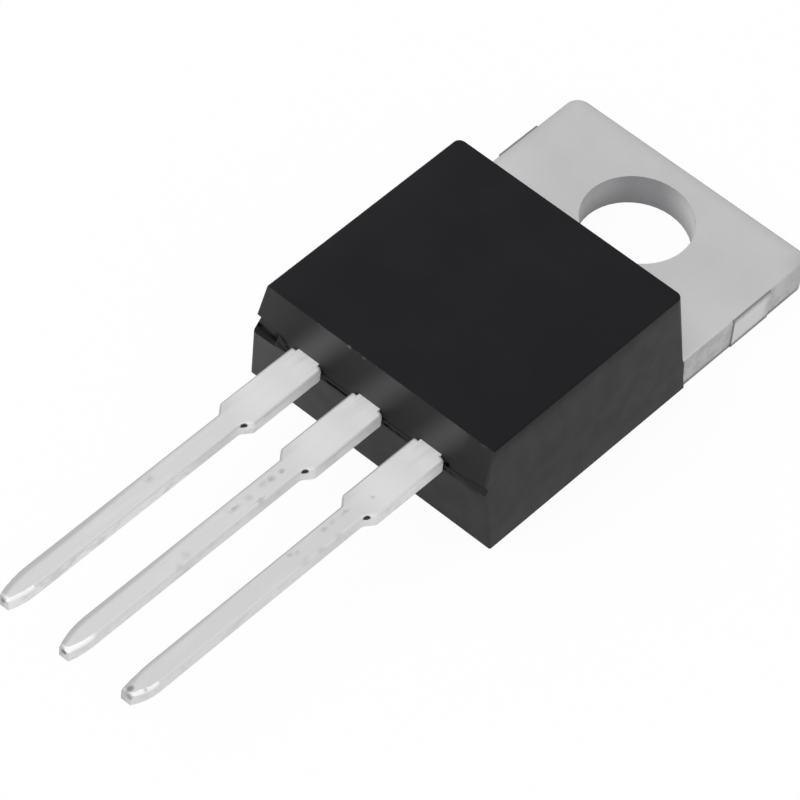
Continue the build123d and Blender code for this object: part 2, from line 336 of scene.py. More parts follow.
    def grain(self, grain: Grain) -> Socket:
        """A noise in the part's frame, from 0 to 1.

        Args:
            grain: Which noise.

        Returns:
            The noise.
        """
        node = self.tree.nodes.new("ShaderNodeTexNoise")
        moved = self.vector(Sum.ADD, self.place, grain.shift)
        self._feed(node.inputs["Vector"], self.vector(Sum.MULTIPLY, moved, grain.stretch))
        node.inputs["Scale"].default_value = grain.per_mm
        node.inputs["Detail"].default_value = grain.detail
        node.inputs["Roughness"].default_value = grain.rough
        return node.outputs["Fac"]

    def grain_step(self, grain: Grain, ramp: Ramp) -> Socket:
        """A ramp's height at a noise."""
        return self.step(self.grain(grain), ramp)

    def ragged(self, place: Socket, wobble: Wobble) -> Socket:
        """Coordinates pushed about by noise, which makes what is drawn in them ragged.

        Args:
            place: The coordinates.
            wobble: How they are pushed.

        Returns:
            The pushed coordinates.
        """
        node = self.tree.nodes.new("ShaderNodeTexNoise")
        self._feed(node.inputs["Vector"], place)
        node.inputs["Scale"].default_value = wobble.per_mm
        push = self.vector(Sum.SUBTRACT, node.outputs["Color"], (0.5, 0.5, 0.5))
        push = self.vector(Sum.SCALE, push, scale=wobble.push)
        return self.vector(Sum.ADD, place, push)

    def marks(self, place: Socket, marks: tuple[Mark, ...]) -> Socket:
        """The strongest of several marks at each point."""
        return self.most(*(mark.mask(self, place) for mark in marks))

    def blend(self, share: Socket, first: Socket | Colour, second: Socket | Colour) -> Socket:
        """Two colours mixed.

        Args:
            share: How much of the second.
            first: The first colour.
            second: The second colour.

        Returns:
            The mixed colour.
        """
        node = self.tree.nodes.new("ShaderNodeMix")
        node.data_type = "RGBA"
        self._feed(node.inputs[self.MIX_SHARE], share)
        self._feed_colour(node.inputs[self.MIX_FIRST], first)
        self._feed_colour(node.inputs[self.MIX_SECOND], second)
        return node.outputs[self.MIXED]

    def rounded(self, radius: float) -> Socket:
        """The surface's direction with its edges rounded off.

        Args:
            radius: The rounding, in millimetres.

        Returns:
            The direction.
        """
        node = self.tree.nodes.new("ShaderNodeBevel")
        node.samples = self.BEVEL_SAMPLES
        node.inputs["Radius"].default_value = radius * MM
        return node.outputs["Normal"]

    def relief(
        self, height: Socket, depth: float, strength: float, facing: Socket | None = None
    ) -> Socket:
        """The surface's direction on a fine relief.

        Args:
            height: The relief, from 0 to 1.
            depth: Its depth in millimetres.
            strength: How much of it shows.
            facing: The direction that it stands on, where it isn't the plain surface.

        Returns:
            The direction.
        """
        node = self.tree.nodes.new("ShaderNodeBump")
        self._feed(node.inputs["Height"], height)
        node.inputs["Distance"].default_value = depth * MM
        node.inputs["Strength"].default_value = strength
        if facing is not None:
            self._feed(node.inputs["Normal"], facing)
        return node.outputs["Normal"]

    def surface(
        self,
        colour: Socket,
        roughness: Socket | float,
        facing: Socket,
        metal: float = 0.0,
        shine: Socket | float = 0.5,
    ) -> Material:
        """Ends the tree in one shader.

        Args:
            colour: The base colour.
            roughness: The roughness.
            facing: The direction of the relief.
            metal: 1 for a metal, 0 for anything else.
            shine: The specular level.

        Returns:
            The finished material.
        """
        shader = self.tree.nodes.new("ShaderNodeBsdfPrincipled")
        self._feed(shader.inputs["Base Color"], colour)
        self._feed(shader.inputs["Roughness"], roughness)
        self._feed(shader.inputs["Normal"], facing)
        self._feed(shader.inputs["Specular IOR Level"], shine)
        shader.inputs["Metallic"].default_value = metal
        output = self.tree.nodes.new("ShaderNodeOutputMaterial")
        self.tree.links.new(shader.outputs[0], output.inputs["Surface"])
        return self.material


# ----- Finishes -----


@dataclass(frozen=True)
class SatinEpoxy:
    """Filled moulding compound with the fine spark-eroded grain of its mould."""

    marked_face: Colour = (0.0072, 0.0067, 0.0086)
    marked_cloud: Colour = (0.0090, 0.0080, 0.0104)
    marked_dark: Colour = (0.0050, 0.0045, 0.0062)
    flank: Colour = (0.0185, 0.0185, 0.0189)
    flank_cloud: Colour = (0.0218, 0.0216, 0.0220)
    end_far: Colour = (0.0140, 0.0140, 0.0142)
    # Painted light: a paler black for the lead end's left side and for the flanks near the table
    # and the tab.
    painted_pale_black: Colour = (0.0430, 0.0430, 0.0425)
    # Painted reflection of each lead on the lead end above it.
    lead_reflection: Colour = (0.0700, 0.0700, 0.0715)
    above_far: Colour = (0.0220, 0.0220, 0.0222)
    # Painted shade lower down the lead end's upper face.
    shade: Colour = (0.0150, 0.0150, 0.0157)
    # Painted shade: the black under the flanks' top edge and in the pockets.
    shade_black: Colour = (0.0060, 0.0060, 0.0062)
    # Painted shade on the strip under the parting edge.
    strip_shade: Colour = (0.0115, 0.0115, 0.0117)
    fresh: Colour = (0.19, 0.19, 0.185)
    soot: Colour = (0.0015, 0.0015, 0.0015)
    # Painted light: a paler black at the pockets' apex and on the block's rounded upright corners.
    painted_light_black: Colour = (0.0330, 0.0330, 0.0335)
    edge_radius: float = 0.05

    # Mould grain
    mould_grain: Grain = Grain(14.0, detail=4.0, rough=0.6)
    grain_depth: float = 0.003
    grain_strength: float = 0.35
    patches: Grain = Grain(1.3, shift=(5.0, 0.0, 2.0))
    roughness: Ramp = Ramp(0.3, 0.7, low=0.41, high=0.48)
    shine: Ramp = Ramp(0.0, 1.0, low=0.10, high=0.0)  # by how dull a place is

    # Marked face and flanks
    clouds: Grain = Grain(0.55, detail=3.0)
    cloudy: Ramp = Ramp(0.35, 0.65)
    face_left: Ramp = Ramp(-3.2, -4.9, high=0.22)
    face_right: Ramp = Ramp(0.0, 4.8, high=0.5)
    under_top_edge: Ramp = Ramp(3.80, 4.32)
    near_back: Ramp = Ramp(1.2, 0.1)
    near_tab: Ramp = Ramp(-8.5, -3.5, high=0.8)
    paling: float = 0.30
    off_the_face: Ramp = Ramp(0.92, 0.55)
    on_lead_end: Ramp = Ramp(-0.35, -0.70)
    upright: Ramp = Ramp(0.10, 0.35)

    # Lead end, with painted light and shade
    lit_towards_left: Ramp = Ramp(2.0, -4.8)
    upper_lit_towards_left: Ramp = Ramp(-3.0, -4.6, high=0.55)
    down_the_end: Ramp = Ramp(4.3, 3.0, low=0.10, high=0.95)
    far_upright: Ramp = Ramp(4.40, 4.95, high=0.8)
    bloom_offset: float = 0.47
    bloom_slant: float = 0.59
    bloom_middle: float = 4.0
    bloom_lobe: Ramp = Ramp(0.95, 0.0)
    bloom_reach: Ramp = Ramp(3.91, 3.51)
    bloom_fade: Ramp = Ramp(0.0, -3.0, low=0.72)

    # Seam, and the strip between it and the parting edge
    seam: float = 2.575
    seam_line: Ramp = Ramp(0.135, 0.015)
    seam_reach: Ramp = Ramp(4.15, 3.20)
    seam_grain: Grain = Grain(1.6, shift=(3.0, 0.0, 0.0))
    seam_breaks: Ramp = Ramp(0.40, 0.60, low=0.60)
    to_leads: Ramp = Ramp(-0.5, -0.8)
    above_seam: Ramp = Ramp(2.295, 2.575)
    leaning_under: Ramp = Ramp(0.08, -0.08)
    strip_reach: Ramp = Ramp(4.95, 4.40)
    strip_dulling: float = 0.55

    # Marks
    outline: Wobble = Wobble(9.0, 0.10)
    pocket_floor: Ramp = Ramp(-0.08, 0.05)
    rub_grain: Grain = Grain(3.4, detail=4.0, rough=0.75, shift=(0.0, 7.0, 0.0))
    rub_specks: Ramp = Ramp(0.54, 0.72, high=0.22)
    rub_height: Ramp = Ramp(4.30, 4.37)
    rub_edge: Ramp = Ramp(-12.76, -12.82)
    nicks: tuple[Mark, ...] = (
        Mark((-1.225, -12.86, 4.38), (0.14, 0.08, 0.08), 0.60),
        Mark((-1.020, -12.86, 4.39), (0.13, 0.05, 0.05), 0.25),
        Mark((-0.617, -12.85, 4.38), (0.14, 0.06, 0.06), 0.45),
        Mark((1.950, -12.88, 4.36), (0.06, 0.04, 0.04), 0.25),
    )
    seam_pits: tuple[Mark, ...] = (
        Mark((-1.32, -13.11, 2.60), (0.20, 0.15, 0.11), 1.0, 0.3),
        Mark((0.92, -13.11, 2.56), (0.24, 0.15, 0.10), 0.9, 0.2),
        Mark((3.25, -13.13, 2.85), (0.15, 0.15, 0.14), 1.0, 0.3),
        Mark((3.45, -13.11, 2.56), (0.42, 0.15, 0.10), 0.7, 0.2),
    )
    pocket_shade: tuple[Mark, ...] = (
        Mark((-3.68, -12.95, 2.75), (0.50, 0.60, 0.45), 0.75, 0.55),
        Mark((-4.55, -13.12, 2.50), (1.30, 0.30, 0.62), 0.70, 0.30),
    )
    # Painted light lifting the painted pocket shade at its apex.
    pocket_shade_lift: tuple[Mark, ...] = (
        Mark((-4.42, -12.79, 2.80), (0.80, 0.21, 0.30), 0.8, 0.3),
    )

    def material(self) -> Material:
        """Builds the node tree.

        Returns:
            The material.
        """
        r = Recipe("satin_black_epoxy")
        pocket = r.product(r.marks(r.place, self.pocket_shade), r.step(r.up, self.pocket_floor))
        ragged = r.ragged(r.place, self.outline)
        seam = self._seam(r, ragged)
        base = self._faces(r)
        base = r.blend(pocket, base, self.shade_black)
        # Painted light lifting the painted pocket shade at its apex.
        base = r.blend(r.marks(r.place, self.pocket_shade_lift), base, self.painted_light_black)
        base = r.blend(r.marks(ragged, self.nicks), base, self.fresh)
        base = r.blend(seam, base, self.soot)
        base = r.blend(self._rubbed_edge(r), base, self.fresh)
        rounded = r.rounded(self.edge_radius)
        to_side, to_end, _ = r.parts(rounded)
        # Painted light on the rounded upright corners of the block.
        at_upright = r.step(r.gap(r.product(to_side, to_end)), self.upright)
        base = r.blend(at_upright, base, self.painted_light_black)
        roughness = r.grain_step(self.patches, self.roughness)
        fine = r.grain(self.mould_grain)
        facing = r.relief(fine, self.grain_depth, self.grain_strength, rounded)
        dull = r.most(seam, pocket, r.product(self._tucked_strip(r), self.strip_dulling))
        return r.surface(base, roughness, facing, shine=r.step(dull, self.shine))

    def _faces(self, r: Recipe) -> Socket:
        """The marked face, the flanks and the lead end, each in its own black, with painted shade
        under the flanks' top edge and painted light low on them and towards the tab.

        Args:
            r: The tree.

        Returns:
            The colour.
        """
        clouds = r.grain_step(self.clouds, self.cloudy)
        top = r.blend(clouds, self.marked_face, self.marked_cloud)
        top = r.blend(r.step(r.across, self.face_left), top, self.flank)
        top = r.blend(r.step(r.across, self.face_right), top, self.marked_dark)
        side = r.blend(clouds, self.flank, self.flank_cloud)
        # Painted shade just under the top edge of the flanks.
        side = r.blend(r.step(r.out, self.under_top_edge), side, self.shade_black)
        # Painted light: the flanks are paler near the table and towards the tab.
        paler = r.most(r.step(r.out, self.near_back), r.step(r.along, self.near_tab))
        side = r.blend(r.product(paler, self.paling), side, self.painted_pale_black)
        block = r.blend(r.step(r.up, self.off_the_face), top, side)
        return r.blend(r.step(r.ahead, self.on_lead_end), block, self._lead_end(r))

    def _lead_end(self, r: Recipe) -> Socket:
        """The face that the leads come out of, with painted light and shade: paler to the left, a
        painted reflection of each lead, and painted shade lower down.

        Args:
            r: The tree.

        Returns:
            The face's colour.
        """
        # Painted reflection of each lead, slanting up the face above it.
        slant = r.sum(Sum.SUBTRACT, self.bloom_middle, r.out)
        slant = r.sum(Sum.MULTIPLY_ADD, slant, self.bloom_slant, -self.bloom_offset)
        offset = r.from_lead(r.sum(Sum.ADD, r.across, slant))
        lead_reflection = r.product(
            r.step(r.gap(offset), self.bloom_lobe),
            r.step(r.gap(r.across), self.bloom_reach),
            r.step(r.across, self.bloom_fade),
        )
        # Painted light towards the face's left, and painted shade lower down its upper part.
        lower = r.blend(r.step(r.across, self.lit_towards_left), self.end_far, self.painted_pale_black)
        upper = r.blend(r.step(r.out, self.down_the_end), self.above_far, self.shade)
        upper = r.blend(r.step(r.across, self.upper_lit_towards_left), upper, self.painted_pale_black)
        upper = r.blend(lead_reflection, upper, self.lead_reflection)
        upper = r.blend(r.step(r.across, self.far_upright), upper, self.flank)
        face = r.blend(r.step(r.out, self.above_seam), lower, upper)
        # Painted shade on the strip under the parting edge.
        return r.blend(self._tucked_strip(r), face, self.strip_shade)

    def _tucked_strip(self, r: Recipe) -> Socket:
        """The strip of the lead end between the parting edge and the seam below it, painted dark as
        shade so that it reads as the face above.

        Args:
            r: The tree.

        Returns:
            Its strength at each point.
        """
        return r.product(
            r.step(r.out, self.above_seam),
            r.step(r.up, self.leaning_under),
            r.step(r.ahead, self.to_leads),
            r.step(r.across, self.strip_reach),
        )

    def _seam(self, r: Recipe, ragged: Socket) -> Socket:
        """The dark broken seam across the lead end, and the pits along it.

        Args:
            r: The tree.
            ragged: The coordinates that it is drawn in.

        Returns:
            Its strength at each point.
        """
        _, _, height = r.parts(ragged)
        line = r.product(
            r.step(r.gap(height, self.seam), self.seam_line),
            r.step(r.ahead, self.to_leads),
            r.step(r.across, self.seam_reach),
            r.grain_step(self.seam_grain, self.seam_breaks),
        )
        return r.most(line, r.marks(ragged, self.seam_pits))

    def _rubbed_edge(self, r: Recipe) -> Socket:
        """Broken pale specks along the edge above the leads.

        Args:
            r: The tree.

        Returns:
            Their strength at each point.
        """
        specks = r.grain_step(self.rub_grain, self.rub_specks)
        return r.product(specks, r.step(r.out, self.rub_height), r.step(r.along, self.rub_edge))


def scuff(across: float, along: float, wide: float, long: float, strength: float) -> Mark:
    """A scuff on the leads' tops."""
    return Mark((across, along, 3.06), (wide, long, 0.2), strength)


@dataclass(frozen=True)
class PlatedCopper:
    """The copper frame and leads: matte nickel on the tab, whiter matte tin on the leads."""

    tab: Colour = (0.530, 0.530, 0.530)
    tab_cloud: Colour = (0.512, 0.512, 0.514)
    # Painted shade at the tab's far and left edges, end rim and near corner.
    tab_shaded: Colour = (0.340, 0.340, 0.342)
    # Painted light: the tab's top is lighter near the moulding.
    tab_lit_near_body: Colour = (0.650, 0.650, 0.650)
    sheared: Colour = (0.470, 0.470, 0.470)
    sheared_cloud: Colour = (0.370, 0.370, 0.372)
    stub: Colour = (0.610, 0.610, 0.610)
    step_shade: Colour = (0.160, 0.160, 0.160)
    # A burr with a painted shadow along the tab's bottom edges.
    burr_and_shadow: Colour = (0.170, 0.169, 0.166)
    hole: Colour = (0.290, 0.290, 0.305)
    # Painted light on the sides of the hole's wall.
    hole_lit_sides: Colour = (0.610, 0.610, 0.612)
    hole_torn: Colour = (0.160, 0.160, 0.163)
    tin: Colour = (0.715, 0.715, 0.720)
    tin_streak: Colour = (0.680, 0.680, 0.690)
    # Painted shade: the narrow parts' tops are darker.
    tin_narrow_shade: Colour = (0.630, 0.630, 0.636)
    tin_side: Colour = (0.740, 0.740, 0.745)
    # Painted light on the cut sides near the roots and on the left lead.
    side_lit: Colour = (0.980, 0.980, 0.985)
    blunt: Colour = (0.560, 0.560, 0.565)
    side_scratched: Colour = (0.640, 0.640, 0.645)
    # Painted shade along the leads' left edges.
    tin_left_shade: Colour = (0.390, 0.390, 0.397)
    # Painted light on the tops near the roots.
    tin_root_lit: Colour = (0.930, 0.930, 0.935)
    # Painted highlight on the noses.
    glint: Colour = (0.960, 0.960, 0.960)
    # Near-black spots on the leads' right shoulders.
    shoulder_spot_black: Colour = (0.012, 0.011, 0.011)
    # Dark grey spots on and near the blunt tips.
    tip_grey: Colour = (0.150, 0.150, 0.152)
    scuffed: Colour = (0.400, 0.400, 0.405)
    metal: float = 0.35
    edge_radius: float = 0.03

    # Both platings
    tin_starts: Ramp = Ramp(-11.0, -11.4)
    specks: Grain = Grain(9.0, detail=3.0, rough=0.6)
    streaks: Grain = Grain(5.0, detail=3.0, stretch=(1.0, 0.12, 1.0))
    roughness: Ramp = Ramp(0.3, 0.7, low=0.46, high=0.55)
    relief_depth: float = 0.0012
    relief_strength: float = 0.30

    # Tab
    tab_flat: Ramp = Ramp(0.55, 0.95)
    clouds: Grain = Grain(0.8, detail=4.0, rough=0.55)
    cloudy: Ramp = Ramp(0.3, 0.7)
    by_body: Ramp = Ramp(0.3, -2.7)
    torn_grain: Grain = Grain(2.6, detail=4.0, rough=0.65, shift=(1.0, 4.0, 2.0))
    torn: Ramp = Ramp(0.40, 0.66)
    edge_grain: Grain = Grain(5.0, detail=3.0, rough=0.7, stretch=(1.0, 1.0, 0.4))
    # Painted shade towards the top of each stub's cut end.
    stub_shade_wave: float = 0.20
    bend: Ramp = Ramp(1.10, 1.36, high=0.6)
    # A burr with a painted shadow along the tab's bottom edges.
    burr_shadow_wave: float = -0.16
    burr_shadow_height: Ramp = Ramp(0.150, 0.01, high=0.9)
    # Painted shade on the tab's edges, end rim and near corner.
    leans_left: Ramp = Ramp(-0.08, -0.35, high=0.3825)
    leans_back: Ramp = Ramp(0.08, 0.35, high=0.85)
    by_end: Ramp = Ramp(2.30, 2.85, high=0.30)
    by_left_side: Ramp = Ramp(-4.60, -5.0, high=0.28)
    rim_grain: Grain = Grain(2.4, detail=3.0, rough=0.6, shift=(6.0, 2.0, 0.0))
    rim_wave: float = 0.10
    rim: Ramp = Ramp(2.79, 2.84, high=0.65)
    corner_along: Ramp = Ramp(1.4, 2.6)
    corner_across: Ramp = Ramp(4.2, 5.0, high=0.55)

    # Stubs at the tab's sides
    stub_middle: float = -0.15
    stub_half: float = 0.925
    stub_face: Ramp = Ramp(4.992, 4.997)
    stub_clean: Ramp = Ramp(0.85, 0.35)
    past_tab: Ramp = Ramp(4.910, 4.945)
    on_stub: Ramp = Ramp(0.945, 0.905)
    faces_up: Ramp = Ramp(0.75, 0.45)
    faces_out: Ramp = Ramp(0.45, 0.75)
    # Painted shade lines at the stubs' near ends.
    end_step_line: Ramp = Ramp(0.045, 0.015)
    before_end_step: Ramp = Ramp(0.1, -0.1)
    step_share: float = 0.85

    # Hole
    hole_wall: Ramp = Ramp(1.96, 1.92)
    hole_upright: Ramp = Ramp(0.8, 0.4)
    lit_left: Ramp = Ramp(0.72, 1.02, high=0.35)
    lit_right: Ramp = Ramp(0.35, -0.55)
    hole_low: Ramp = Ramp(0.95, 0.20, high=0.45)
    hole_grain: Grain = Grain(7.0, detail=4.0, rough=0.7, shift=(2.0, 2.0, 0.0))
    hole_wave: float = -0.30
    hole_rim: Ramp = Ramp(0.20, -0.06, high=0.3)

    # Leads' tops and cut sides
    lead_flat: Ramp = Ramp(0.30, 0.85)
    narrowing: Ramp = Ramp(-15.3, -17.0)
    root_top: Ramp = Ramp(-14.446, -13.146)
    streaked: Ramp = Ramp(0.45, 0.85, high=0.6)
    root_side: Ramp = Ramp(-15.746, -13.746)
    left_lead: Ramp = Ramp(-0.6, -2.2, high=0.35)
    rub_grain: Grain = Grain(
        2.2, detail=4.0, rough=0.65, stretch=(1.0, 0.5, 1.0), shift=(2.0, 5.0, 1.0)
    )
    rubbed: Ramp = Ramp(0.45, 0.70)
    shoulder: float = -17.8
    by_shoulder: Ramp = Ramp(1.6, 0.4, high=0.8)
    off_root: Ramp = Ramp(-14.046, -14.946)
    cut_tip: Ramp = Ramp(-0.6, -0.85)
    wear_grain: Grain = Grain(
        3.2, detail=4.0, rough=0.7, stretch=(1.0, 0.35, 1.0), shift=(3.0, 1.0, 0.0)
    )
    worn: Ramp = Ramp(0.58, 0.74, high=0.25)
    right_lead: Ramp = Ramp(1.2, 2.4, high=0.10)

    # Leads' rolled edges, and the noses at their tips
    narrow_half: float = 0.3875
    roll_starts: Ramp = Ramp(0.20, 0.45)
    roll_ends: Ramp = Ramp(0.995, 0.95)
    rolls_right: Ramp = Ramp(0.20, 0.45)
    nose_starts: float = -25.25
    nose_curve: float = 0.118
    inset_along: Ramp = Ramp(-18.5, -24.5, low=0.02, high=0.14)
    inset_across: Ramp = Ramp(-1.5, 1.8, low=0.03, high=-0.05)
    left_edge: Ramp = Ramp(0.14, -0.02)
    left_edge_along: Ramp = Ramp(-17.0, -22.5, low=0.3, high=0.74)
    rolls_left: Ramp = Ramp(-0.10, -0.45, high=0.80)
    on_nose: Ramp = Ramp(-25.10, -25.40)
    nose_ahead: Ramp = Ramp(-0.02, -0.07)
    nose_right: Ramp = Ramp(0.08, 0.22)
    # The painted highlight on the right of each nose.
    highlight_starts: float = -25.60
    highlight_curve: float = 0.20
    highlight_edge: Ramp = Ramp(0.12, 0.07)
    highlight_along: Ramp = Ramp(-25.48, -25.80)
    highlight_up: Ramp = Ramp(0.10, 0.30)

    # Marks on the leads
    fine_outline: Wobble = Wobble(14.0, 0.03)
    scuff_outline: Wobble = Wobble(6.0, 0.16)
    shoulder_dark_spots: tuple[Mark, ...] = (
        Mark((0.455, -16.535, 2.965), (0.135, 0.165, 0.095), 1.0, 0.6),
    )
    tip_dark_spots: tuple[Mark, ...] = (
        Mark((-2.545, -26.54, 2.865), (0.115, 0.12, 0.125), 1.00, 0.3),
        Mark((0.055, -26.64, 2.870), (0.140, 0.12, 0.120), 1.00, 0.4),
        Mark((2.590, -26.51, 2.930), (0.190, 0.14, 0.190), 0.60, 0.3),
        Mark((2.470, -26.35, 3.050), (0.130, 0.22, 0.120), 0.80, 0.3),
        Mark((2.800, -26.02, 3.000), (0.070, 0.11, 0.080), 0.50, 0.3),
    )
    scuffs: tuple[Mark, ...] = (
        scuff(-0.022, -17.07, 0.14, 0.16, 1.00), scuff(-0.016, -17.53, 0.17, 0.24, 0.87),
        scuff(-0.070, -17.85, 0.18, 0.30, 0.46), scuff(0.000, -18.56, 0.20, 0.22, 0.41),
        scuff(0.312, -18.34, 0.09, 0.27, 0.70), scuff(-0.012, -19.18, 0.11, 0.32, 0.80),
        scuff(0.340, -21.99, 0.15, 0.20, 0.36), scuff(0.179, -21.52, 0.24, 0.27, 0.32),
        scuff(-2.623, -20.18, 0.20, 0.27, 0.55), scuff(2.624, -15.84, 0.11, 0.12, 0.58),
        scuff(2.420, -16.90, 0.10, 0.32, 0.65), scuff(2.404, -17.46, 0.13, 0.20, 0.46),
        scuff(2.422, -17.83, 0.11, 0.22, 0.70), scuff(2.900, -17.66, 0.13, 0.22, 0.46),
        scuff(2.890, -18.46, 0.15, 0.27, 0.43), scuff(2.347, -19.30, 0.14, 0.17, 0.70),
        scuff(2.472, -19.08, 0.14, 0.17, 0.46), scuff(2.880, -19.15, 0.18, 0.35, 0.32),
    )

    def material(self, name: str) -> Material:
        """Builds the node tree.

        Args:
            name: The material's name.

        Returns:
            The material.
        """
        r = Recipe(name)
        on_lead = r.step(r.along, self.tin_starts)
        specks, streaks = r.grain(self.specks), r.grain(self.streaks)
        colour = r.blend(on_lead, self._nickel(r), self._tin(r, streaks))
        height = r.sum(Sum.ADD, specks, r.product(streaks, on_lead))
        edges = r.rounded(self.edge_radius)
        facing = r.relief(height, self.relief_depth, self.relief_strength, edges)
        return r.surface(colour, r.step(specks, self.roughness), facing, metal=self.metal)

    def _nickel(self, r: Recipe) -> Socket:
        """The tab, with its cut-off stubs and the wall of its hole.

        Args:
            r: The tree.

        Returns:
            The colour.
        """
        top = r.blend(r.grain_step(self.clouds, self.cloudy), self.tab, self.tab_cloud)
        # Painted light: the tab's top is lighter near the moulding.
        top = r.blend(r.step(r.along, self.by_body), top, self.tab_lit_near_body)
        colour = r.blend(r.step(r.gap(r.up), self.tab_flat), self._tab_sides(r), top)
        # Painted shade at the tab's edges, rim and near corner.
        colour = r.blend(self._tab_shade(r), colour, self.tab_shaded)
        steps = r.product(self._stub_steps(r), self.step_share)
        colour = r.blend(steps, colour, self.step_shade)
        from_axis = r.vector(Sum.MULTIPLY, r.place, (1.0, 1.0, 0.0))
        from_axis = r.vector(Sum.LENGTH, from_axis)
        wall = r.product(r.step(from_axis, self.hole_wall), r.step(r.up, self.hole_upright))
        return r.blend(wall, colour, self._bore(r))

    def _tab_sides(self, r: Recipe) -> Socket:
        """The tab's torn punched sides, burred and with a painted shadow below, and the clean cut
        ends of its stubs.

        Args:
            r: The tree.

        Returns:
            The colour.
        """
        cut = r.step(r.gap(r.across), self.stub_face)
        # Painted shade towards the top of each stub's cut end.
        bend = r.step(r.waved(self.edge_grain, self.stub_shade_wave, r.out), self.bend)
        # A burr with a painted shadow along the tab's bottom edges.
        burr_and_shadow = r.step(r.waved(self.edge_grain, self.burr_shadow_wave, r.out), self.burr_shadow_height)
        side = r.blend(r.grain_step(self.torn_grain, self.torn), self.sheared, self.sheared_cloud)
        side = r.blend(r.product(cut, r.step(r.along, self.stub_clean)), side, self.stub)
        side = r.blend(r.product(cut, bend), side, self.step_shade)
        return r.blend(burr_and_shadow, side, self.burr_and_shadow)

    def _tab_shade(self, r: Recipe) -> Socket:
        """Where painted shade darkens the tab: its far and left edges, its end rim and its near
        corner.

        Args:
            r: The tree.

        Returns:
            The strength at each point.
        """
        return r.most(
            r.step(r.along, self.by_end),
            r.step(r.across, self.by_left_side),
            r.step(r.waved(self.rim_grain, self.rim_wave, r.along), self.rim),
            r.product(r.step(r.along, self.corner_along), r.step(r.across, self.corner_across)),
            r.step(r.over, self.leans_left),
            r.step(r.ahead, self.leans_back),
        )

    def _stub_steps(self, r: Recipe) -> Socket:
        """Painted shade along the small ledges round the stubs, and in lines at their near ends.

        Args:
            r: The tree.

        Returns:
            Their strength at each point.
        """
        sideways, from_middle = r.gap(r.over), r.gap(r.along, self.stub_middle)
        ledge = r.product(
            r.step(r.gap(r.across), self.past_tab),
            r.step(from_middle, self.on_stub),
            r.step(sideways, self.faces_up),
        )
        end_step_line = r.product(
            r.step(r.gap(from_middle, self.stub_half), self.end_step_line),
            r.step(sideways, self.faces_out),
            r.step(r.along, self.before_end_step),
        )
        return r.most(ledge, end_step_line)

    def _bore(self, r: Recipe) -> Socket:
        """The hole's wall, with painted light at its sides, and torn where the punch broke through.

        Args:
            r: The tree.

        Returns:
            The colour.
        """
        lit = r.most(r.step(r.over, self.lit_left), r.step(r.over, self.lit_right))
        bore = r.blend(lit, self.hole, self.hole_lit_sides)
        bore = r.blend(r.step(r.out, self.hole_low), bore, self.hole_torn)
        rim = r.step(r.waved(self.hole_grain, self.hole_wave, r.out), self.hole_rim)
        return r.blend(rim, bore, self.hole_torn)

    def _tin(self, r: Recipe, streaks: Socket) -> Socket:
        """The leads, with their edges, noses, painted shade and highlights, handling scuffs and
        dark spots.

        Args:
            r: The tree.
            streaks: The drawn streaks along the lead, which its relief shares.

        Returns:
            The colour.
        """
        narrow = r.step(r.along, self.narrowing)
        ragged = r.ragged(r.place, self.fine_outline)
        local = self._lead_place(r, ragged)
        rolled = r.product(r.step(r.up, self.roll_starts), r.step(r.up, self.roll_ends))
        tin = self._tin_faces(r, streaks, narrow)
        # Painted highlight along the right rolled edges: they take the plain tin, lighter than the
        # narrow parts' tops.
        tin = r.blend(r.product(rolled, r.step(r.over, self.rolls_right)), tin, self.tin)
        # Painted shade along the leads' left edges.
        tin = r.blend(self._left_edge(r, local, narrow), tin, self.tin_left_shade)
        nose = r.product(
            rolled,
            r.step(r.ahead, self.nose_ahead),
            r.step(r.over, self.nose_right),
            r.step(r.along, self.on_nose),
        )
        # Painted highlights on the noses' right rolled edges and crescents.
        tin = r.blend(nose, tin, self.glint)
        tin = r.blend(self._nose_highlight(r, local), tin, self.glint)
        wear = r.grain_step(self.wear_grain, self.worn)
        wear = r.product(r.most(wear, r.step(r.across, self.right_lead)), narrow)
        tin = r.blend(wear, tin, self.scuffed)
        scuffs = r.marks(r.ragged(r.place, self.scuff_outline), self.scuffs)
        tin = r.blend(scuffs, tin, self.scuffed)
        # Dark grey spots on and near the blunt tips.
        tin = r.blend(r.marks(ragged, self.tip_dark_spots), tin, self.tip_grey)
        # A near-black spot on each lead's right shoulder.
        return r.blend(r.marks(local, self.shoulder_dark_spots), tin, self.shoulder_spot_black)

    def _tin_faces(self, r: Recipe, streaks: Socket, narrow: Socket) -> Socket:
        """The leads' streaked tops, rubbed cut sides and blunt tips, with painted shade on the
        narrow parts and painted light near the roots and on the left lead's sides.

        Args:
            r: The tree.
            streaks: The drawn streaks along the lead.
            narrow: Where the lead is past its shoulders.

        Returns:
            The colour.
        """
        # Painted shade on the narrow parts, and painted light on the tops near the roots.
        top = r.blend(narrow, self.tin, self.tin_narrow_shade)
        top = r.blend(r.step(r.along, self.root_top), top, self.tin_root_lit)
        top = r.blend(r.step(streaks, self.streaked), top, self.tin_streak)
        # Painted light on the cut sides near the roots and on the left lead.
        side = r.blend(r.step(r.along, self.root_side), self.tin_side, self.side_lit)
        side = r.blend(r.step(r.across, self.left_lead), side, self.side_lit)
        rubbed = r.grain_step(self.rub_grain, self.rubbed)
        rubbed = r.most(rubbed, r.step(r.gap(r.along, self.shoulder), self.by_shoulder))
        rubbed = r.product(rubbed, r.step(r.along, self.off_root))
        side = r.blend(rubbed, side, self.side_scratched)
        side = r.blend(r.step(r.ahead, self.cut_tip), side, self.blunt)
        return r.blend(r.step(r.gap(r.up), self.lead_flat), side, top)

